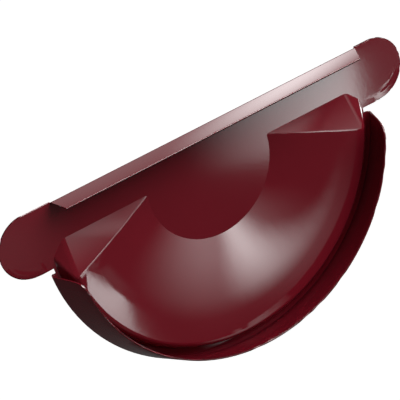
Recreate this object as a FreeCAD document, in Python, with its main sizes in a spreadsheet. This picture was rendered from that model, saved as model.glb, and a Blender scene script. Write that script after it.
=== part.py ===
import FreeCAD, Part
import math
import os
import Sketcher
from FreeCAD import Placement, Rotation, Vector

# End cap for a half-round rain gutter: one pressed sheet of painted steel.
# X runs across the gutter, Z is up, and the gutter comes from the -Y side.
# The origin lies on the gutter's axis, in the gutter side of the flat plate.
# A depth is measured from that side towards the gutter, so it lies at -Y.
# Lengths are in millimetres and angles in degrees.

SIZES = [
    # the sheet
    ("sheet_thickness", 0.6, "painted steel sheet"),
    ("bend_radius", 1.0, "inside of the rim's and the flange's folds"),
    ("land_width", 4.4, "strip of plate that each folded wall carries"),
    ("land_overlap", 1.7, "how far the pressed plate reaches into that strip"),
    # the half-round rim that takes the gutter's end
    ("rim_root_radius", 69.4, "outside of the rim where it leaves the plate"),
    ("rim_lean", 4.6, "how far the rim's free edge leans in from its root"),
    ("rim_depth", 15.5, "how far the rim reaches over the gutter"),
    ("rim_end_drop", 8.9, "how far below the axis the rim starts"),
    ("rim_end_rounding", 5.0, "rounding of the rim's two end corners"),
    # the flat plate with its two ears
    ("plate_top", 16.7, "top edge above the gutter's axis"),
    ("ear_radius", 11.8, "round ears over the gutter's beads"),
    ("ear_left", 72.6, "axis to the middle of the left ear"),
    ("ear_right", 74.0, "axis to the middle of the right ear"),
    ("curl_depth", 0.9, "how far an ear's lower edge curls forward"),
    ("curl_width", 2.6, "width of that curled edge, seen from the front"),
    ("curl_bend_radius", 2.6, "inside radius of the curl"),
    ("curl_start", 14.0, "start of the curl below the ear's outer side"),
    ("curl_sweep", 90.0, "how far the curl runs round the ear"),
    # the flange folded over along the top
    ("flange_depth", 9.2, "width of the top flange"),
    ("flange_left", 61.4, "axis to the left end of the flange"),
    ("flange_right", 68.0, "axis to the right end of the flange"),
    ("mitre_left", 1.3, "how far the left end is mitred"),
    ("mitre_right", 4.3, "how far the right end is mitred"),
    # the raised half ring that stiffens the plate, with a wedge at each end
    ("disc_radius", 25.5, "flat half disc inside the ring"),
    ("groove_width", 3.8, "groove for the gutter's end, from the rim's root to the ring's foot"),
    ("wall_run", 2.6, "from the ring's foot in to its crest"),
    ("crest_height", 5.8, "crest of the ring in front of the plate"),
    ("facet_top", 1.8, "upper crease of the two wedges above the axis"),
    ("facet_drop", 13.5, "from that crease down to the wedge's full height"),
    ("facet_inset", 2.5, "from the ring's crest in to a wedge's upper outer corner"),
    ("end_heading", 44.0, "how steeply the wedge's end crease runs down and out"),
    ("end_slope", 33.0, "slope of the wedge's end face"),
    ("crest_rounding", 2.2, "rounding of the ring's crest"),
    ("ridge_rounding", 1.8, "rounding of the wedges' ridges"),
    ("end_rounding", 6.0, "rounding between a wedge's top and its end face"),
]

HALF_TURN = 180.0
FULL_TURN = 360.0
QUARTER_TURN = 90.0
# wider than any part of the cap, for what cuts right through it
CLEAR = 400.0
TOUCH = 1e-4
SIDES = (-1, 1)

doc = FreeCAD.newDocument("gutter_end_cap")
sheet = doc.addObject("Spreadsheet::Sheet", "sizes")
for row, (alias, value, meaning) in enumerate(SIZES, start=1):
    sheet.set(f"A{row}", alias)
    sheet.set(f"B{row}", str(value))
    sheet.set(f"C{row}", meaning)
    sheet.setAlias(f"B{row}", alias)
doc.recompute()


def size(alias):
    """Reads one size from the sheet."""
    return float(getattr(sheet, alias))


def foot_radius():
    """Foot of the ring's outer wall, a groove's width inside the rim."""
    return size("rim_root_radius") - size("groove_width")


def crest_radius():
    return foot_radius() - size("wall_run")


def middle_of(edge):
    return edge.valueAt((edge.FirstParameter + edge.LastParameter) / 2)


# Folded walls: a strip of plate with a wall that stands up from it, in an L section


def closed_sketch(body, name, role, corners, rounded=None):
    """Draws a closed outline in one of the body's origin planes.

    Each corner is a pair of expressions, and a leading minus puts it on the negative side.
    The side after the corner numbered in rounded is a quarter circle, to the left and down.
    """
    plane = next(feature for feature in body.Origin.OriginFeatures if feature.Role == role)
    sketch = body.newObject("Sketcher::SketchObject", name)
    sketch.AttachmentSupport = [(plane, "")]
    sketch.MapMode = "FlatFace"

    def value(expression):
        return float(sketch.evalExpression(expression))

    points = [Vector(value(across), value(along), 0) for across, along in corners]
    count = len(points)
    for i in range(count):
        start, end = points[i], points[(i + 1) % count]
        if i == rounded:
            circle = Part.Circle(Vector(start.x, end.y, 0), Vector(0, 0, 1), start.y - end.y)
            sketch.addGeometry(Part.ArcOfCircle(circle, math.pi / 2, math.pi))
        else:
            sketch.addGeometry(Part.LineSegment(start, end))
    for i in range(count):
        following = (i + 1) % count
        joint = "Tangent" if following == rounded else "Coincident"
        sketch.addConstraint(Sketcher.Constraint(joint, i, 2, following, 1))
    origin = (-1, 1)
    for i, pair in enumerate(corners):
        for kind, expression in zip(("DistanceX", "DistanceY"), pair):
            negative = expression.startswith("-")
            first, second = ((i, 1), origin) if negative else (origin, (i, 1))
            length = expression.lstrip("-")
            rule = Sketcher.Constraint(kind, *first, *second, value(length))
            index = sketch.addConstraint(rule)
            sketch.setExpression(f"Constraints[{index}]", length)
    return sketch


def l_section(root, mouth, depth):
    """Corners of a wall from the root to the mouth, with its strip of plate: place, depth."""
    thick = "sizes.sheet_thickness"
    lean = f"(({root}) - ({mouth})) / ({depth} + {thick})"
    wall = f"{thick} * sqrt(1 + ({lean}) ^ 2)"
    return [
        (f"({root}) - sizes.land_width", thick),
        (f"({root})", thick),
        (f"({mouth})", f"-({depth})"),
        (f"({mouth}) - {wall}", f"-({depth})"),
        (f"({root}) - {wall} - {thick} * ({lean})", "0"),
        (f"({root}) - sizes.land_width", "0"),
    ]


def dress_edges(body, name, kind, test, amount):
    """Gives the body's edges that pass the test a Fillet or a Chamfer."""
    base = body.Tip
    names = [f"Edge{i}" for i, edge in enumerate(base.Shape.Edges, start=1) if test(edge)]
    dressing = body.newObject(f"PartDesign::{kind}", name)
    dressing.Base = (base, names)
    dressing.setExpression({"Fillet": "Radius", "Chamfer": "Size"}[kind], amount)
    doc.recompute()
    return dressing


def shape_fold(body, bend, inside, on_outside, on_inside):
    """Rounds a fold outside; inside, a hidden corner gets a chamfer as deep as the rounding."""
    dress_edges(body, f"{body.Name}_outside", "Fillet", on_outside, f"{bend} + sizes.sheet_thickness")
    dress_edges(body, f"{body.Name}_inside", inside, on_inside, bend)


def cut_through(body, name, role, corners, rounded=None):
    """Cuts an outline right through the body, both ways."""
    before = body.Shape.Volume
    outline = closed_sketch(body, f"{name}_outline", role, corners, rounded)
    pocket = body.newObject("PartDesign::Pocket", name)
    pocket.Profile = outline
    pocket.SideType = "Two sides"
    pocket.Type = "ThroughAll"
    pocket.Type2 = "ThroughAll"
    doc.recompute()
    if body.Shape.Volume > before - TOUCH:
        raise RuntimeError(f"{name} cuts nothing")
    return pocket


def turned_wall(name, root, mouth, depth, bend, inside, sweep):
    """Turns an L section about the body's Y axis, from +X downwards."""
    body = doc.addObject("PartDesign::Body", name)
    section = closed_sketch(body, f"{name}_section", "XY_Plane", l_section(root, mouth, depth))
    turn = body.newObject("PartDesign::Revolution", f"{name}_turn")
    turn.Profile = section
    turn.ReferenceAxis = (section, ["V_Axis"])
    turn.setExpression("Angle", sweep)
    doc.recompute()
    outer = float(section.evalExpression(root))
    strip = float(section.evalExpression(f"({root}) - sizes.land_width"))

    def circle_at(edge, depth):
        return edge.Curve.TypeId == "Part::GeomCircle" and abs(middle_of(edge).y + depth) < TOUCH

    shape_fold(
        body, bend, inside,
        lambda edge: circle_at(edge, -size("sheet_thickness")) and abs(edge.Curve.Radius - outer) < TOUCH,
        lambda edge: circle_at(edge, 0) and edge.Curve.Radius > strip + TOUCH,
    )
    return body


def make_rim():
    """The half-round wall round the gutter, with rounded end corners."""
    body = turned_wall(
        "rim", "sizes.rim_root_radius", "(sizes.rim_root_radius - sizes.rim_lean)", "sizes.rim_depth",
        "sizes.bend_radius", "Chamfer", str(HALF_TURN),
    )
    beyond = "-(sizes.rim_depth + sizes.land_width)"
    low = "-(sizes.rim_end_drop + sizes.rim_end_rounding)"
    cut_through(body, "rim_ends", "YZ_Plane", [
        ("sizes.land_width", "-sizes.rim_end_drop"),
        ("-(sizes.rim_depth - sizes.rim_end_rounding)", "-sizes.rim_end_drop"),
        ("-sizes.rim_depth", low),
        (beyond, low),
        (beyond, "sizes.rim_end_drop"),
        ("sizes.land_width", "sizes.rim_end_drop"),
    ], rounded=1)
    return body


def make_curl(name, side):
    """The curled lower edge of one ear."""
    body = turned_wall(
        name, "sizes.ear_radius - sizes.curl_width", "sizes.ear_radius", "sizes.curl_depth",
        "sizes.curl_bend_radius", "Fillet", "sizes.curl_sweep",
    )
    body.Placement = Placement(Vector(0, 0, 0), Rotation(Vector(0, 1, 0), QUARTER_TURN))
    if side > 0:
        body.setExpression("Placement.Base.x", "sizes.ear_right")
        body.setExpression("Placement.Rotation.Angle", "sizes.curl_start")
    else:
        body.setExpression("Placement.Base.x", "-sizes.ear_left")
        body.setExpression(
            "Placement.Rotation.Angle", f"{HALF_TURN} - sizes.curl_start - sizes.curl_sweep"
        )
    body.setExpression("Placement.Base.z", "sizes.plate_top - sizes.ear_radius")
    return body


def make_flange():
    """The flange along the top, with a mitre at each end."""
    body = doc.addObject("PartDesign::Body", "top_flange")
    corners = l_section("sizes.plate_top", "sizes.plate_top", "sizes.flange_depth")
    section = closed_sketch(body, "flange_section", "YZ_Plane", [(d, z) for z, d in corners])
    section.setExpression("AttachmentOffset.Base.z", "-sizes.flange_left")
    pad = body.newObject("PartDesign::Pad", "flange_length")
    pad.Profile = section
    pad.setExpression("Length", "sizes.flange_left + sizes.flange_right")
    doc.recompute()
    thick, top = size("sheet_thickness"), size("plate_top")

    def along(edge, depth, height):
        middle = middle_of(edge)
        return abs(middle.y + depth) < TOUCH and abs(middle.z - height) < TOUCH and \
            edge.Length > size("flange_left")

    shape_fold(
        body, "sizes.bend_radius", "Fillet",
        lambda edge: along(edge, -thick, top),
        lambda edge: along(edge, 0, top - thick),
    )
    for side, sign in (("left", "-"), ("right", "")):
        end, mitre = f"sizes.flange_{side}", f"sizes.mitre_{side}"
        cut_through(body, f"mitre_{side}_cut", "XY_Plane", [
            (f"{sign}({end})", "0"),
            (f"{sign}({end})", "-sizes.flange_depth"),
            (f"{sign}({end} - {mitre})", "-sizes.flange_depth"),
        ])
    return body


# The pressed plate: what is left of the blank between the two faces of the press


def slab(left, right, low, high, back, front):
    """A box between two depths."""
    return Part.makeBox(right - left, front - back, high - low, Vector(left, -front, low))


def round_slab(radius, start, sweep, centre, back, front):
    """A disc, or a part of one, between two depths; angles turn from +X towards +Z."""
    disc = Part.makeCylinder(radius, front - back, Vector(0, 0, 0), Vector(0, 0, 1), sweep)
    upright = Rotation(Vector(1, 0, 0), QUARTER_TURN)
    turn = upright.multiply(Rotation(Vector(0, 0, 1), start))
    x, z = centre
    disc.Placement = Placement(Vector(x, -back, z), turn)
    return disc


def make_blank(thick):
    """The plate's outline, which stops short of every bend, as a block behind its face."""
    short = size("land_width") - size("land_overlap")
    top, ear = size("plate_top"), size("ear_radius")
    height = top - ear
    ears = {-1: -size("ear_left"), 1: size("ear_right")}
    ends = {-1: -size("flange_left"), 1: size("flange_right")}
    half = round_slab(size("rim_root_radius") - short, -HALF_TURN, HALF_TURN, (0, 0), -thick, 0)
    pieces = [slab(ears[-1], ears[1], height - ear, top - short, -thick, 0)]
    for side in SIDES:
        left, right = sorted((ears[side], ends[side]))
        pieces.append(slab(left, right, height, top, -thick, 0))
        pieces.append(round_slab(ear, 0, FULL_TURN, (ears[side], height), -thick, 0))
    outline = half.fuse(pieces).removeSplitter()
    lowest = -size("curl_start") - size("curl_sweep")
    starts = {-1: -HALF_TURN + size("curl_start"), 1: lowest}
    kept = ear - size("curl_width") - short
    for side in SIDES:
        centre = (ears[side], height)
        ring = round_slab(ear + TOUCH, starts[side], size("curl_sweep"), centre, -thick, 0)
        flat = round_slab(kept, 0, FULL_TURN, centre, -thick, 0)
        outline = outline.cut(ring.cut(flat))
    return outline


def cut_plane(shape, point, normal):
    """Cuts away what lies in front of a plane."""
    front = Part.makeBox(CLEAR, CLEAR, CLEAR, Vector(-CLEAR / 2, -CLEAR / 2, 0))
    front.Placement = Placement(point, Rotation(Vector(0, 0, 1), normal))
    return shape.cut(front)


def ring_section(behind):
    """Half a section through the raised ring, with a rounded crest."""
    height, crest = size("crest_height"), crest_radius()
    rise = math.atan2(height, crest - size("disc_radius"))
    fall = math.atan2(height, foot_radius() - crest)
    inner = Vector(size("disc_radius") + behind * math.tan(rise / 2), behind, 0)
    foot = Vector(foot_radius() - behind * math.tan(fall / 2), behind, 0)
    across = (inner.x * math.tan(rise) + foot.x * math.tan(fall)) / (math.tan(rise) + math.tan(fall))
    tip = Vector(across, behind - (across - inner.x) * math.tan(rise), 0)

    radius = size("crest_rounding") - behind
    half_turn = (rise + fall) / 2
    to_inner, to_foot = (inner - tip).normalize(), (foot - tip).normalize()
    start = tip + to_inner * (radius * math.tan(half_turn))
    end = tip + to_foot * (radius * math.tan(half_turn))
    centre = tip + (to_inner + to_foot).normalize() * (radius / math.cos(half_turn))
    top = centre + (tip - centre).normalize() * radius
    return Part.Face(Part.Wire([
        Part.LineSegment(inner, start).toShape(),
        Part.Arc(start, top, end).toShape(),
        Part.LineSegment(end, foot).toShape(),
        Part.LineSegment(foot, inner).toShape(),
    ]))


def raised_ring(behind):
    """The half ring and its wedges as a solid, with each face moved back by a distance."""
    # the ring runs on past the axis, and the wedges' faces then cut its ends
    spare = 2 * math.degrees(math.asin(size("facet_top") / size("disc_radius")))
    section = ring_section(behind)
    section.rotate(Vector(0, 0, 0), Vector(0, 1, 0), -spare)
    ring = section.revolve(Vector(0, 0, 0), Vector(0, 1, 0), HALF_TURN + 2 * spare)

    slope = math.atan2(size("crest_height"), size("facet_drop"))
    facet_out = Vector(0, -math.cos(slope), math.sin(slope))
    crease = Vector(0, 0, size("facet_top"))
    ring = cut_plane(ring, crease - facet_out * behind, facet_out)
    heading, lean = math.radians(size("end_heading")), math.radians(size("end_slope"))
    for side in SIDES:
        end_out = Vector(
            side * math.sin(heading) * math.sin(lean),
            -math.cos(lean),
            math.cos(heading) * math.sin(lean),
        )
        corner = Vector(side * (crest_radius() - size("facet_inset")), 0, size("facet_top"))
        ring = cut_plane(ring, corner - end_out * behind, end_out)

    def at_end(edge):
        middle = middle_of(edge)
        straight = edge.Curve.TypeId == "Part::GeomLine"
        return straight and middle.y < behind - TOUCH and abs(middle.x) > size("disc_radius")

    ends = [edge for edge in ring.Edges if at_end(edge)]
    return ring.makeFillet(size("end_rounding") - behind, ends)


def press_face(backing, behind):
    """One face of the press: a backing with the raised ring on it, and its edges rounded."""
    form = backing.fuse(raised_ring(behind)).removeSplitter()

    def on_wedge(edge):
        along_crest = edge.Curve.TypeId == "Part::GeomCircle"
        return middle_of(edge).y < behind - TOUCH and not along_crest

    return form.makeFillet(
        size("ridge_rounding") - behind, [edge for edge in form.Edges if on_wedge(edge)]
    )


def make_pressed_plate():
    """The plate with its raised ring, as thick everywhere as the sheet."""
    thick = size("sheet_thickness")
    depth = size("land_width") + thick
    front = doc.addObject("Part::Feature", "press_front")
    front.Shape = press_face(make_blank(depth), 0.0)
    back = doc.addObject("Part::Feature", "press_back")
    backing = slab(-CLEAR / 2, CLEAR / 2, -CLEAR / 2, CLEAR / 2, -CLEAR, -thick)
    back.Shape = press_face(backing, thick)
    plate = doc.addObject("Part::Cut", "pressed_plate")
    plate.Base = front
    plate.Tool = back
    return plate


cap = doc.addObject("Part::MultiFuse", "end_cap")
cap.Label = "end_cap"
cap.Shapes = [
    make_pressed_plate(),
    make_rim(),
    make_flange(),
    make_curl("left_curl", -1),
    make_curl("right_curl", 1),
]
cap.Refine = True
doc.recompute()

failed = [made.Name for made in doc.Objects if {"Invalid", "Error"} & set(made.State)]
if failed:
    raise RuntimeError("failed: " + ", ".join(failed))
if cap.Shape.isNull() or not cap.Shape.isValid() or len(cap.Shape.Solids) != 1:
    raise RuntimeError("the cap isn't one valid solid")

os.makedirs("parts", exist_ok=True)
cap.Shape.exportStep(os.path.join("parts", cap.Label + ".step"))
print(f"{cap.Label}: {len(cap.Shape.Faces)} faces, {cap.Shape.Volume:.0f} mm3")
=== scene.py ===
import math

import bmesh
import bpy
from bpy.props import FloatProperty, FloatVectorProperty, PointerProperty
from mathutils import Matrix, Vector


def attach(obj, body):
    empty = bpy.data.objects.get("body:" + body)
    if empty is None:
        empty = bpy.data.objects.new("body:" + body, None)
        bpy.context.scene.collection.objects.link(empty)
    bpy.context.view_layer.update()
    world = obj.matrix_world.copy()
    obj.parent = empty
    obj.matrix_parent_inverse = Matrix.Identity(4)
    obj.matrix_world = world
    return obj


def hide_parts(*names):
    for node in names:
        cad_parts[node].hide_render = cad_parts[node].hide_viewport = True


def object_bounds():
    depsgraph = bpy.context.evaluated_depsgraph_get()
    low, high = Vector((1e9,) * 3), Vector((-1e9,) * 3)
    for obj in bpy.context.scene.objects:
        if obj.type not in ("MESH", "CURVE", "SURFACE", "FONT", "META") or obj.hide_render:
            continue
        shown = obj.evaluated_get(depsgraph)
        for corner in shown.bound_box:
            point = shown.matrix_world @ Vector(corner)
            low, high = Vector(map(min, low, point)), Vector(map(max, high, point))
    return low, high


# End cap for a half-round rain gutter, pressed from one sheet of painted steel.
# Lengths are in metres. X runs across the gutter, Z is up, and the gutter comes from -Y.
# The origin lies on the gutter's axis, in the gutter side of the flat plate.

bl_info = {
    "name": "Gutter end cap",
    "version": (1, 0, 0),
    "blender": (4, 5, 0),
    "location": "3D View > Sidebar > Gutter Cap",
    "description": "Dresses the pressed end cap of a half-round gutter and sets its stage",
    "category": "Object",
}

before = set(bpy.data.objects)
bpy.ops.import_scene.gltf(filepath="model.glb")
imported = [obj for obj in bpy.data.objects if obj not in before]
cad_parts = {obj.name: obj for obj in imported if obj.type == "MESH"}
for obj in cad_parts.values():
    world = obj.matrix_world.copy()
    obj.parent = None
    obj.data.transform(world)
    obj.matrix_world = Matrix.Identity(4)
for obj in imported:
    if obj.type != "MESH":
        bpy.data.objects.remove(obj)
CAD_BOX = [list(corner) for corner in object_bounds()]

MM = 0.001
# corners of the loose triangles that are the same point lie closer than this
SAME_POINT = 2e-6
# a share of a length or a sweep this near to 0 or 1 is at its end
AT_END = 0.001

# faces that meet at less than this are one flat patch
FLAT = math.radians(0.3)
# an edge bent by more than this stays sharp
SHARP = math.radians(20.0)
# a cut edge turns away from the sheet's faces by more than this
CUT = math.radians(30.0)

# distances from the cap to the soft panels and to the dark tent behind them
PANEL_DISTANCE = 3.0
TENT_RADIUS = 3.4
TENT_GLOW = 0.08
# light of the world on matt surfaces, and what lifts the seen floor to white
WORLD_LIGHT = 0.25
FLOOR_LIFT = 0.8

# Lamps for the paint's own colour: name, azimuth and elevation in degrees, distance from the
# cap and side in metres, power in watts.
LAMPS = (
    ("front_lamp", 45, 40, 1.6, 1.4, 52.0),
    ("top_lamp", 0, 76, 1.6, 1.4, 14.0),
)

# Soft panels that the gloss of the paint mirrors: name, azimuth and elevation of the middle,
# width and height as the cap sees them, all in degrees, then strength and fade.
SOFT_PANELS = (
    # for the ring: a tall narrow panel, and a broad dim one round it
    ("tall_panel", 21.3, -7.2, 14.5, 35, 9.4, "SPHERICAL"),
    ("broad_panel", 33, -0.6, 65, 46, 4.3, "SPHERICAL"),
    # for the wedges
    ("right_wedge_panel", 29, 25, 9, 26, 2.6, "SPHERICAL"),
    ("left_wedge_panel", 21, 25, 14, 26, 1.6, "SPHERICAL"),
    # for the plate: a low narrow one for the right end of its flat band, dim ones for the ears
    ("low_panel", 30.0, -25.6, 5.0, 2.2, 9.0, "LINEAR"),
    ("right_ear_panel", 34.6, -25, 5, 6, 0.4, "SPHERICAL"),
    ("left_ear_panel", 21.3, -27.2, 5, 5, 0.3, "SPHERICAL"),
    # for the rounded edges: a broad panel above, one far right, and one low on the left
    ("upper_edge_panel", 48, 54, 66, 44, 34.0, "SPHERICAL"),
    ("right_edge_panel", 102, -2, 58, 80, 20.0, "SPHERICAL"),
    ("left_edge_panel", -58, -32, 30, 30, 12.0, "SPHERICAL"),
    # behind, for the top flange: a bright panel near its right end, a dim one for the rest
    ("back_panel", 148.9, 26, 7.6, 18, 5.8, "SPHERICAL"),
    ("dim_back_panel", 154, 26, 28, 24, 0.9, "SPHERICAL"),
)


def linear(code):
    """Turns an sRGB hex colour into linear red, green, blue and an alpha of one."""
    parts = [int(code[i:i + 2], 16) / 255 for i in (1, 3, 5)]
    return tuple(v / 12.92 if v <= 0.04045 else ((v + 0.055) / 1.055) ** 2.4 for v in parts) + (1.0,)


def colour(name, description, code):
    """A colour property that starts at a hex value."""
    return FloatVectorProperty(
        name=name, description=description, default=linear(code),
        subtype="COLOR", size=4, min=0.0, max=1.0,
    )


def length(name, description, default):
    """A length in metres."""
    return FloatProperty(name=name, description=description, default=default, unit="LENGTH")


def angle(name, description, degrees):
    """An angle that starts at a number of degrees."""
    return FloatProperty(
        name=name, description=description, default=math.radians(degrees), unit="ROTATION"
    )


class CapSheetSettings(bpy.types.PropertyGroup):
    """Sizes and colours of the pressed sheet."""

    thickness: length("Thickness", "Thickness of the steel sheet", 0.6 * MM)
    disc_radius: length("Disc radius", "Flat half disc inside the raised ring", 25.5 * MM)
    crest_radius: length("Crest radius", "Crest of the raised ring", 63.0 * MM)
    crest_height: length("Crest height", "Crest in front of the plate", 5.8 * MM)
    bulge: length("Bulge", "How far the ring's slope bulges forward", 0.85 * MM)
    edge_round: length("Edge rounding", "Paint rounds every cut edge by this much", 0.26 * MM)
    ear_left: length("Left ear", "Axis to the middle of the left ear", 72.6 * MM)
    ear_right: length("Right ear", "Axis to the middle of the right ear", 74.0 * MM)
    ear_height: length("Ear height", "Middle of the ears above the axis", 4.9 * MM)
    ear_radius: length("Ear radius", "Outside of the ears", 11.8 * MM)
    curl_depth: length("Curl depth", "How far an ear's lower edge curls forward", 0.9 * MM)
    curl_width: length("Curl width", "Width of that curled edge", 2.6 * MM)
    curl_share: FloatProperty(
        name="Curl share", description="Share of the curl's depth that is kept in its middle",
        default=0.2, min=0.0, max=1.0, subtype="FACTOR",
    )
    curl_start: angle("Curl start", "Start of the curl below the ear's outer side", 14.0)
    curl_sweep: angle("Curl sweep", "How far the curl runs round the ear", 90.0)
    paint: colour("Paint", "Wine red paint", "#560D17")
    paint_deep: colour("Deep paint", "The same paint where it lies a little thicker", "#500B14")


class CapStageSettings(bpy.types.PropertyGroup):
    """The floor, the lamps and the camera."""

    floor_drop: length("Floor drop", "Floor below the gutter's axis", 3.6)
    floor_size: length("Floor size", "Side of the square floor", 40.0)
    floor: colour("Floor", "Pale floor", "#F1F0EE")
    camera_distance: length("Camera distance", "Camera to the point it looks at", 1.0)
    camera_azimuth: angle("Camera azimuth", "How far left of the gutter's axis it stands", 27.52)
    camera_elevation: angle("Camera elevation", "How far it looks down", 27.19)
    camera_roll: angle("Camera roll", "How far the picture is turned anticlockwise", 14.14)
    camera_view: angle("Angle of view", "Angle that the square picture takes in", 7.914)
    target: FloatVectorProperty(
        name="Target", description="Point that the camera looks at",
        default=(-6.2 * MM, 0.0, -9.5 * MM), subtype="TRANSLATION", unit="LENGTH",
    )


def add_node(tree, kind, sockets=None, **settings):
    """Adds a node. A socket takes a constant, or a pair of a node and its output's name."""
    node = tree.nodes.new(kind)
    for name, value in settings.items():
        setattr(node, name, value)
    for name, value in (sockets or {}).items():
        if isinstance(value, tuple) and isinstance(value[0], bpy.types.Node):
            source, output = value
            tree.links.new(source.outputs[output], node.inputs[name])
        else:
            node.inputs[name].default_value = value
    return node


def new_material(name):
    """An empty material with its output node."""
    material = bpy.data.materials.new(name)
    material.use_nodes = True
    material.node_tree.nodes.clear()
    return material, material.node_tree, add_node(material.node_tree, "ShaderNodeOutputMaterial")


# Finishes


def coil_coated_steel(settings):
    """Gloss polyester paint rolled on the strip before pressing.

    It gives a deep, even wine red with soft clear reflections. The roller leaves a fine
    orange peel, and the press leaves the flat faces very slightly wavy.
    """
    material, tree, output = new_material("coil_coated_steel_wine_red")
    place = add_node(tree, "ShaderNodeTexCoord")
    # paint thickness drifts over about 25 mm
    drift = add_node(tree, "ShaderNodeTexNoise", {
        "Vector": (place, "Object"), "Scale": 1 / (25 * MM), "Detail": 2.0, "Roughness": 0.5,
    })
    shade = add_node(tree, "ShaderNodeMix", {
        "Factor": (drift, "Fac"), "A": settings.paint_deep, "B": settings.paint,
    }, data_type="RGBA")
    # orange peel of about 1.6 mm, and pressing waves of about 30 mm
    peel = add_node(tree, "ShaderNodeTexNoise", {
        "Vector": (place, "Object"), "Scale": 1 / (1.6 * MM), "Detail": 1.0,
    })
    waves = add_node(tree, "ShaderNodeTexNoise", {
        "Vector": (place, "Object"), "Scale": 1 / (30 * MM), "Detail": 0.0,
    })
    wavy = add_node(tree, "ShaderNodeBump", {
        "Height": (waves, "Fac"), "Strength": 1.0, "Distance": 0.03 * MM,
    })
    peeled = add_node(tree, "ShaderNodeBump", {
        "Height": (peel, "Fac"), "Strength": 1.0, "Distance": 0.0015 * MM, "Normal": (wavy, "Normal"),
    })
    gloss = add_node(tree, "ShaderNodeMapRange", {
        "Value": (drift, "Fac"), "To Min": 0.045, "To Max": 0.06,
    })
    paint = add_node(tree, "ShaderNodeBsdfPrincipled", {
        "Base Color": (shade, "Result"), "Roughness": (gloss, "Result"), "IOR": 1.45,
        "Normal": (peeled, "Normal"),
    })
    tree.links.new(paint.outputs["BSDF"], output.inputs["Surface"])
    return material


# The pressed sheet


def smooth_ramp(value, low, high):
    """0 up to low and 1 from high on, with a soft start and end between them."""
    share = min(max((value - low) / (high - low), 0.0), 1.0)
    return share * share * (3 - 2 * share)


def slope_depth(radius, settings):
    """Depth of the ring's straight slope at a radius."""
    run = settings.crest_radius - settings.disc_radius
    return (radius - settings.disc_radius) * settings.crest_height / run


def bow_ring(bm, settings):
    """Bulges the ring's slope forward, both faces alike, so the sheet keeps its thickness."""
    inner, crest = settings.disc_radius, settings.crest_radius
    long_run = (crest - inner) / 3

    def radius(vert):
        return math.hypot(vert.co.x, vert.co.z)

    def on_slope(vert):
        depth = slope_depth(radius(vert), settings)
        aside = abs(-vert.co.y - depth)
        return inner - MM < radius(vert) < crest + MM and aside < 1.5 * settings.thickness

    lines = [
        edge for edge in bm.edges
        if abs(radius(edge.verts[0]) - radius(edge.verts[1])) > long_run
        and all(on_slope(vert) for vert in edge.verts)
    ]
    bmesh.ops.subdivide_edges(bm, edges=lines, cuts=7, use_grid_fill=True)
    bm.normal_update()
    for vert in bm.verts:
        share = (radius(vert) - inner) / (crest - inner)
        if not 0 < share < 1:
            continue
        # what lies less deep than the slope, such as the flat plate, isn't bulged
        depth = -vert.co.y + (settings.thickness if vert.normal.y > 0 else 0.0)
        weight = smooth_ramp(depth / slope_depth(radius(vert), settings), 0.5, 0.9)
        vert.co.y -= 4 * settings.bulge * share * (1 - share) * weight


def ear_middle(point, settings):
    """Middle of the ear on the point's side of the cap."""
    across = settings.ear_right if point.x > 0 else -settings.ear_left
    return Vector((across, 0.0, settings.ear_height))


def ear_place(point, settings):
    """Distance from the ear's middle, and how far along the curl: 0 at its start, 1 at its end."""
    arm = point - ear_middle(point, settings)
    outward = arm.x if point.x > 0 else -arm.x
    turn = math.atan2(-arm.z, outward) - settings.curl_start
    return math.hypot(arm.x, arm.z), turn / settings.curl_sweep


def curl_faces(bm, settings):
    """The faces of both curls, and those of their blunt ends."""

    def curled(vert):
        radius, turn = ear_place(vert.co, settings)
        return radius < settings.ear_radius + SAME_POINT and -AT_END < turn < 1 + AT_END

    def flat(vert):
        return min(abs(vert.co.y), abs(vert.co.y - settings.thickness)) < SAME_POINT

    curls, ends = [], []
    for face in bm.faces:
        if not all(curled(vert) for vert in face.verts):
            continue
        turns = [ear_place(vert.co, settings)[1] for vert in face.verts]
        if max(turns) < AT_END or min(turns) > 1 - AT_END:
            ends.append(face)
        elif not all(flat(vert) for vert in face.verts):
            curls.append(face)
    return curls, ends


def ease_curls(bm, settings):
    """Flattens each ear's curl to a soft lip that rises and sinks gently at its two ends."""
    curls, ends = curl_faces(bm, settings)
    bmesh.ops.delete(bm, geom=ends, context="FACES")
    loose = bmesh.ops.split(bm, geom=curls)["geom"]
    # the curl's front rises from its root to its corner, and its back runs on to the outside
    thickness, outside = settings.thickness, settings.ear_radius
    drop = settings.curl_depth + thickness
    steepness = drop / settings.curl_width
    corner = outside - thickness * math.hypot(drop, settings.curl_width) / drop
    root = corner - settings.curl_depth / steepness
    for vert in [item for item in loose if isinstance(item, bmesh.types.BMVert)]:
        radius, turn = ear_place(vert.co, settings)
        back_line = thickness - (radius - outside + settings.curl_width) * steepness
        # the back's points lie on that line, and the front's a whole thickness in front of it
        on_back = vert.co.y > min(back_line, thickness) - 0.6 * thickness
        # where the point would lie if the ear had no curl
        stretch = 1.0
        if not on_back and radius > root:
            stretch = (root + (radius - root) * (outside - root) / (corner - root)) / radius
        middle = ear_middle(vert.co, settings)
        uncurled = middle + (vert.co - middle) * stretch
        uncurled.y = thickness if on_back else 0.0
        kept = smooth_ramp(turn, 0.0, 0.5) * smooth_ramp(1 - turn, 0.0, 0.5)
        vert.co = uncurled.lerp(vert.co, kept * settings.curl_share)


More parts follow.
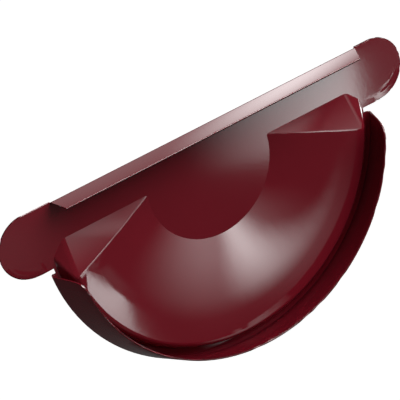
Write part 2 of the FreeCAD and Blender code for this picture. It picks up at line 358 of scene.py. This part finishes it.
def close_seams(bm):
    """Splits an open edge where the corner of another face lies on it, and joins the two."""
    corners = [vert for vert in bm.verts if vert.is_boundary]
    for edge in [edge for edge in bm.edges if edge.is_boundary]:
        start, end = edge.verts
        line = end.co - start.co
        shares = []
        for vert in corners:
            along = (vert.co - start.co).dot(line) / line.length_squared
            aside = (start.co + along * line - vert.co).length
            if AT_END < along < 1 - AT_END and aside < SAME_POINT:
                shares.append(along)
        passed = 0.0
        for along in sorted(shares):
            start = bmesh.utils.edge_split(edge, start, (along - passed) / (1 - passed))[1]
            edge = next(part for part in start.link_edges if end in part.verts)
            passed = along
    merge_points(bm)


def smooth_patches(bm, limit):
    """Groups the faces that meet at less than an angle."""
    left = set(bm.faces)
    patches = []
    for first in bm.faces:
        if first not in left:
            continue
        left.remove(first)
        patch = [first]
        for face in patch:
            for edge in face.edges:
                if edge.calc_face_angle(math.pi) < limit:
                    fresh = [other for other in edge.link_faces if other in left]
                    patch.extend(fresh)
                    left.difference_update(fresh)
        patches.append(patch)
    return patches


def cut_strips(bm, settings):
    """The faces of every strip that is about as wide as the sheet is thick: its cut edges."""
    strips = []
    for patch in smooth_patches(bm, CUT):
        inside = set(patch)
        area = sum(face.calc_area() for face in patch)
        outline = sum(
            edge.calc_length() for face in patch for edge in face.edges
            if not inside.issuperset(edge.link_faces)
        )
        # a long strip's width is twice its area over its outline
        if outline and 2 * area / outline < 1.2 * settings.thickness:
            strips.extend(patch)
    return strips


def round_cut_edges(bm, settings):
    """Takes the corners off the cut edges. Returns the faces of the roundings."""
    strips = cut_strips(bm, settings)
    outward = {}
    for face in strips:
        for vert in face.verts:
            outward[vert] = outward.get(vert, Vector()) + face.normal * face.calc_area()
    inset = bmesh.ops.inset_region(
        bm, faces=strips, thickness=settings.edge_round, use_even_offset=False, use_boundary=True,
    )
    # only the corners on the strips' outlines move, so each strip keeps its flat middle
    inside = set(strips)
    for vert, direction in outward.items():
        if not inside.issuperset(vert.link_faces):
            vert.co -= direction.normalized() * settings.edge_round
    return set(inset["faces"])


def keep_in_box(bm):
    """Brings back what a rounding pushed out of the frame's box."""
    for vert in bm.verts:
        for axis, (low, high) in enumerate(zip(*CAD_BOX)):
            vert.co[axis] = min(max(vert.co[axis], low), high)


def merge_points(bm):
    """Joins corners that are the same point, and drops the faces that this leaves without area."""
    bmesh.ops.remove_doubles(bm, verts=bm.verts, dist=SAME_POINT)
    bmesh.ops.dissolve_degenerate(bm, edges=bm.edges, dist=SAME_POINT)


def on_disc_crease(edge, settings):
    """Whether the edge runs round the half disc, where the ring's slope starts."""
    radii = [math.hypot(vert.co.x, vert.co.z) for vert in edge.verts]
    return all(abs(radius - settings.disc_radius) < 0.1 * MM for radius in radii)


def shading_normals(bm):
    """One normal for each corner of each face, so that large flat faces shade flat.

    At a corner, each flat patch counts by its whole area, up to the next sharp edge.
    """
    patches = smooth_patches(bm, FLAT)
    patch_of = {face: number for number, patch in enumerate(patches) for face in patch}
    areas = [sum(face.calc_area() for face in patch) for patch in patches]
    normals = []
    for face in bm.faces:
        for vert in face.verts:
            group = [face]
            for member in group:
                for edge in member.edges:
                    if edge.smooth and vert in edge.verts:
                        group.extend(other for other in edge.link_faces if other not in group)
            parts = {patch_of[member]: member.normal for member in group}
            total = sum((normal * areas[number] for number, normal in parts.items()), Vector())
            normals.append(total.normalized())
    return normals


def make_sheet(context):
    """The whole cap as one smooth piece, in place of the frame's node."""
    settings = context.scene.cap_sheet
    bm = bmesh.new()
    bm.from_mesh(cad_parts["end_cap"].data)
    merge_points(bm)
    bow_ring(bm, settings)
    ease_curls(bm, settings)
    merge_points(bm)
    close_seams(bm)
    bm.normal_update()
    roundings = round_cut_edges(bm, settings)
    keep_in_box(bm)
    bm.normal_update()
    for face in bm.faces:
        face.smooth = True
    for edge in bm.edges:
        rounded = not roundings.isdisjoint(edge.link_faces)
        crease = edge.calc_face_angle(math.pi) > SHARP or on_disc_crease(edge, settings)
        edge.smooth = rounded or not crease
    normals = shading_normals(bm)
    mesh = bpy.data.meshes.new("pressed_sheet")
    bm.to_mesh(mesh)
    bm.free()
    mesh.normals_split_custom_set(normals)
    mesh.materials.append(coil_coated_steel(settings))
    sheet = bpy.data.objects.new("pressed_sheet", mesh)
    context.scene.collection.objects.link(sheet)
    return sheet


class CAP_OT_sheet(bpy.types.Operator):
    """Make the pressed sheet with its paint"""

    bl_idname = "gutter_cap.sheet"
    bl_label = "Pressed Sheet"
    bl_options = {"REGISTER", "UNDO"}

    def execute(self, context):
        sheet = make_sheet(context)
        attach(sheet, "root")
        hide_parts("end_cap")
        return {"FINISHED"}


# The stage


def towards(azimuth, elevation):
    """Unit vector from the cap; azimuth turns from the gutter side (-Y) to the right (+X)."""
    flat = math.cos(elevation)
    return Vector((math.sin(azimuth) * flat, -math.cos(azimuth) * flat, math.sin(elevation)))


def shown_ray(tree):
    """1 for rays that show the background, straight or through a reflection or glass."""
    path = add_node(tree, "ShaderNodeLightPath")
    mirrored = add_node(tree, "ShaderNodeMath", {
        0: (path, "Is Camera Ray"), 1: (path, "Is Glossy Ray"),
    }, operation="MAXIMUM")
    return add_node(tree, "ShaderNodeMath", {
        0: (mirrored, "Value"), 1: (path, "Is Transmission Ray"),
    }, operation="MAXIMUM")


def pale_floor(settings):
    """Matt pale floor, lifted to white where it is seen, so that shadows still show."""
    material, tree, output = new_material("pale_floor")
    matt = add_node(tree, "ShaderNodeBsdfDiffuse", {"Color": settings.floor})
    lift = add_node(tree, "ShaderNodeMath", {
        0: (shown_ray(tree), "Value"), 1: FLOOR_LIFT,
    }, operation="MULTIPLY")
    glow = add_node(tree, "ShaderNodeEmission", {"Strength": (lift, "Value")})
    both = add_node(tree, "ShaderNodeAddShader", {0: (matt, "BSDF"), 1: (glow, "Emission")})
    tree.links.new(both.outputs["Shader"], output.inputs["Surface"])
    return material


def panel_glow(name, strength, fade):
    """A lit gauze, which lets those behind shine through.

    It fades from its middle to its rim, or from its right side to its left.
    """
    material, tree, output = new_material(name)
    place = add_node(tree, "ShaderNodeTexCoord")
    if fade == "SPHERICAL":
        place = add_node(tree, "ShaderNodeMapping", {
            "Vector": (place, "UV"), "Location": (-1.0, -1.0, 0.0), "Scale": (2.0, 2.0, 1.0),
        })
    across = add_node(tree, "ShaderNodeTexGradient", {
        "Vector": (place, "Vector" if fade == "SPHERICAL" else "UV"),
    }, gradient_type=fade)
    level = add_node(tree, "ShaderNodeMapRange", {
        "Value": (across, "Fac"), "To Min": 0.0, "To Max": strength,
    }, interpolation_type="SMOOTHSTEP")
    glow = add_node(tree, "ShaderNodeEmission", {"Strength": (level, "Result")})
    clear = add_node(tree, "ShaderNodeBsdfTransparent")
    both = add_node(tree, "ShaderNodeAddShader", {0: (glow, "Emission"), 1: (clear, "BSDF")})
    tree.links.new(both.outputs["Shader"], output.inputs["Surface"])
    return material


def facing(direction):
    """A turn that makes a panel, flat in its own XY plane, look back at the cap."""
    sideways = Vector((0, 0, 1)).cross(direction).normalized()
    upwards = direction.cross(sideways)
    return Matrix((sideways, upwards, direction)).transposed().to_4x4()


def stage_object(context, name, bm, material):
    """A piece of the stage that only the gloss of the paint sees."""
    mesh = bpy.data.meshes.new(name)
    bm.to_mesh(mesh)
    bm.free()
    mesh.materials.append(material)
    thing = bpy.data.objects.new(name, mesh)
    context.scene.collection.objects.link(thing)
    thing.visible_camera = False
    thing.visible_diffuse = False
    thing.visible_shadow = False
    return thing


def soft_panel(context, name, azimuth, elevation, width, height, strength, fade):
    """A lit panel: width and height are angles in degrees, as the cap sees them."""
    direction = towards(math.radians(azimuth), math.radians(elevation))
    half_width = PANEL_DISTANCE * math.tan(math.radians(width) / 2)
    half_height = PANEL_DISTANCE * math.tan(math.radians(height) / 2)
    place = Matrix.Translation(direction * PANEL_DISTANCE) @ facing(direction)
    bm = bmesh.new()
    bm.loops.layers.uv.new("panel")
    bmesh.ops.create_grid(bm, x_segments=1, y_segments=1, size=1.0, calc_uvs=True)
    bmesh.ops.scale(bm, vec=(half_width, half_height, 1), verts=bm.verts)
    bmesh.ops.transform(bm, matrix=place, verts=bm.verts)
    return stage_object(context, name, bm, panel_glow(name, strength, fade))


def dark_tent(context):
    """A dark cloth all round, behind the panels."""
    material, tree, output = new_material("dark_cloth")
    cloth = add_node(tree, "ShaderNodeEmission", {"Strength": TENT_GLOW})
    tree.links.new(cloth.outputs["Emission"], output.inputs["Surface"])
    bm = bmesh.new()
    bmesh.ops.create_icosphere(bm, subdivisions=4, radius=TENT_RADIUS)
    return stage_object(context, "dark_tent", bm, material)


def area_lamp(context, name, azimuth, elevation, distance, side, power):
    """A square soft lamp that looks at the cap, and that its gloss doesn't mirror."""
    direction = towards(math.radians(azimuth), math.radians(elevation))
    lamp = bpy.data.lights.new(name, "AREA")
    lamp.shape = "SQUARE"
    lamp.size = side
    lamp.energy = power
    holder = bpy.data.objects.new(name, lamp)
    holder.matrix_world = Matrix.Translation(direction * distance) @ facing(direction)
    holder.visible_glossy = False
    context.scene.collection.objects.link(holder)
    return holder


def make_floor(context, settings):
    """The square floor, level and centred under the cap."""
    bm = bmesh.new()
    bmesh.ops.create_grid(bm, x_segments=1, y_segments=1, size=settings.floor_size / 2)
    bmesh.ops.translate(bm, vec=(0, 0, -settings.floor_drop), verts=bm.verts)
    mesh = bpy.data.meshes.new("floor")
    bm.to_mesh(mesh)
    bm.free()
    mesh.materials.append(pale_floor(settings))
    floor = bpy.data.objects.new("floor", mesh)
    context.scene.collection.objects.link(floor)


def light_world(context):
    """An even pale world, white where it is seen."""
    world = bpy.data.worlds.new("studio")
    world.use_nodes = True
    tree = world.node_tree
    tree.nodes.clear()
    output = add_node(tree, "ShaderNodeOutputWorld")
    level = add_node(tree, "ShaderNodeMapRange", {
        "Value": (shown_ray(tree), "Value"), "To Min": WORLD_LIGHT, "To Max": 1.0,
    })
    sky = add_node(tree, "ShaderNodeBackground", {"Strength": (level, "Result")})
    sky.inputs["Color"].default_value = (1.0, 1.0, 1.0, 1.0)
    tree.links.new(sky.outputs["Background"], output.inputs["Surface"])
    context.scene.world = world


def place_camera(context, settings):
    """Puts the camera at the photograph's viewing angle."""
    outward = towards(-settings.camera_azimuth, settings.camera_elevation)
    level_right = Vector((0, 0, 1)).cross(outward).normalized()
    level_up = outward.cross(level_right)
    cosine, sine = math.cos(settings.camera_roll), math.sin(settings.camera_roll)
    right = level_right * cosine - level_up * sine
    up = level_right * sine + level_up * cosine
    turn = Matrix((right, up, outward)).transposed().to_4x4()
    place = Vector(settings.target) + outward * settings.camera_distance
    data = bpy.data.cameras.new("camera")
    data.angle = settings.camera_view
    camera = bpy.data.objects.new("camera", data)
    camera.matrix_world = Matrix.Translation(place) @ turn
    context.scene.collection.objects.link(camera)
    context.scene.camera = camera


class CAP_OT_stage(bpy.types.Operator):
    """Set the floor, the soft lamps and the camera"""

    bl_idname = "gutter_cap.stage"
    bl_label = "Stage"
    bl_options = {"REGISTER", "UNDO"}

    def execute(self, context):
        settings = context.scene.cap_stage
        make_floor(context, settings)
        light_world(context)
        for lamp in LAMPS:
            area_lamp(context, *lamp)
        dark_tent(context)
        for panel in SOFT_PANELS:
            soft_panel(context, *panel)
        place_camera(context, settings)
        context.scene.view_settings.view_transform = "Standard"
        return {"FINISHED"}


class CAP_PT_panel(bpy.types.Panel):
    """Lists the steps of the gutter end cap"""

    bl_idname = "CAP_PT_panel"
    bl_label = "Gutter End Cap"
    bl_space_type = "VIEW_3D"
    bl_region_type = "UI"
    bl_category = "Gutter Cap"

    def draw(self, context):
        for operator, settings in (
            (CAP_OT_sheet, context.scene.cap_sheet),
            (CAP_OT_stage, context.scene.cap_stage),
        ):
            box = self.layout.box()
            box.operator(operator.bl_idname)
            for name in settings.__annotations__:
                box.prop(settings, name)


CLASSES = (CapSheetSettings, CapStageSettings, CAP_OT_sheet, CAP_OT_stage, CAP_PT_panel)


def register():
    for cls in CLASSES:
        bpy.utils.register_class(cls)
    bpy.types.Scene.cap_sheet = PointerProperty(type=CapSheetSettings)
    bpy.types.Scene.cap_stage = PointerProperty(type=CapStageSettings)


def unregister():
    del bpy.types.Scene.cap_stage
    del bpy.types.Scene.cap_sheet
    for cls in reversed(CLASSES):
        bpy.utils.unregister_class(cls)


def main():
    register()
    bpy.ops.gutter_cap.sheet()
    bpy.ops.gutter_cap.stage()


if __name__ == "__main__":
    main()
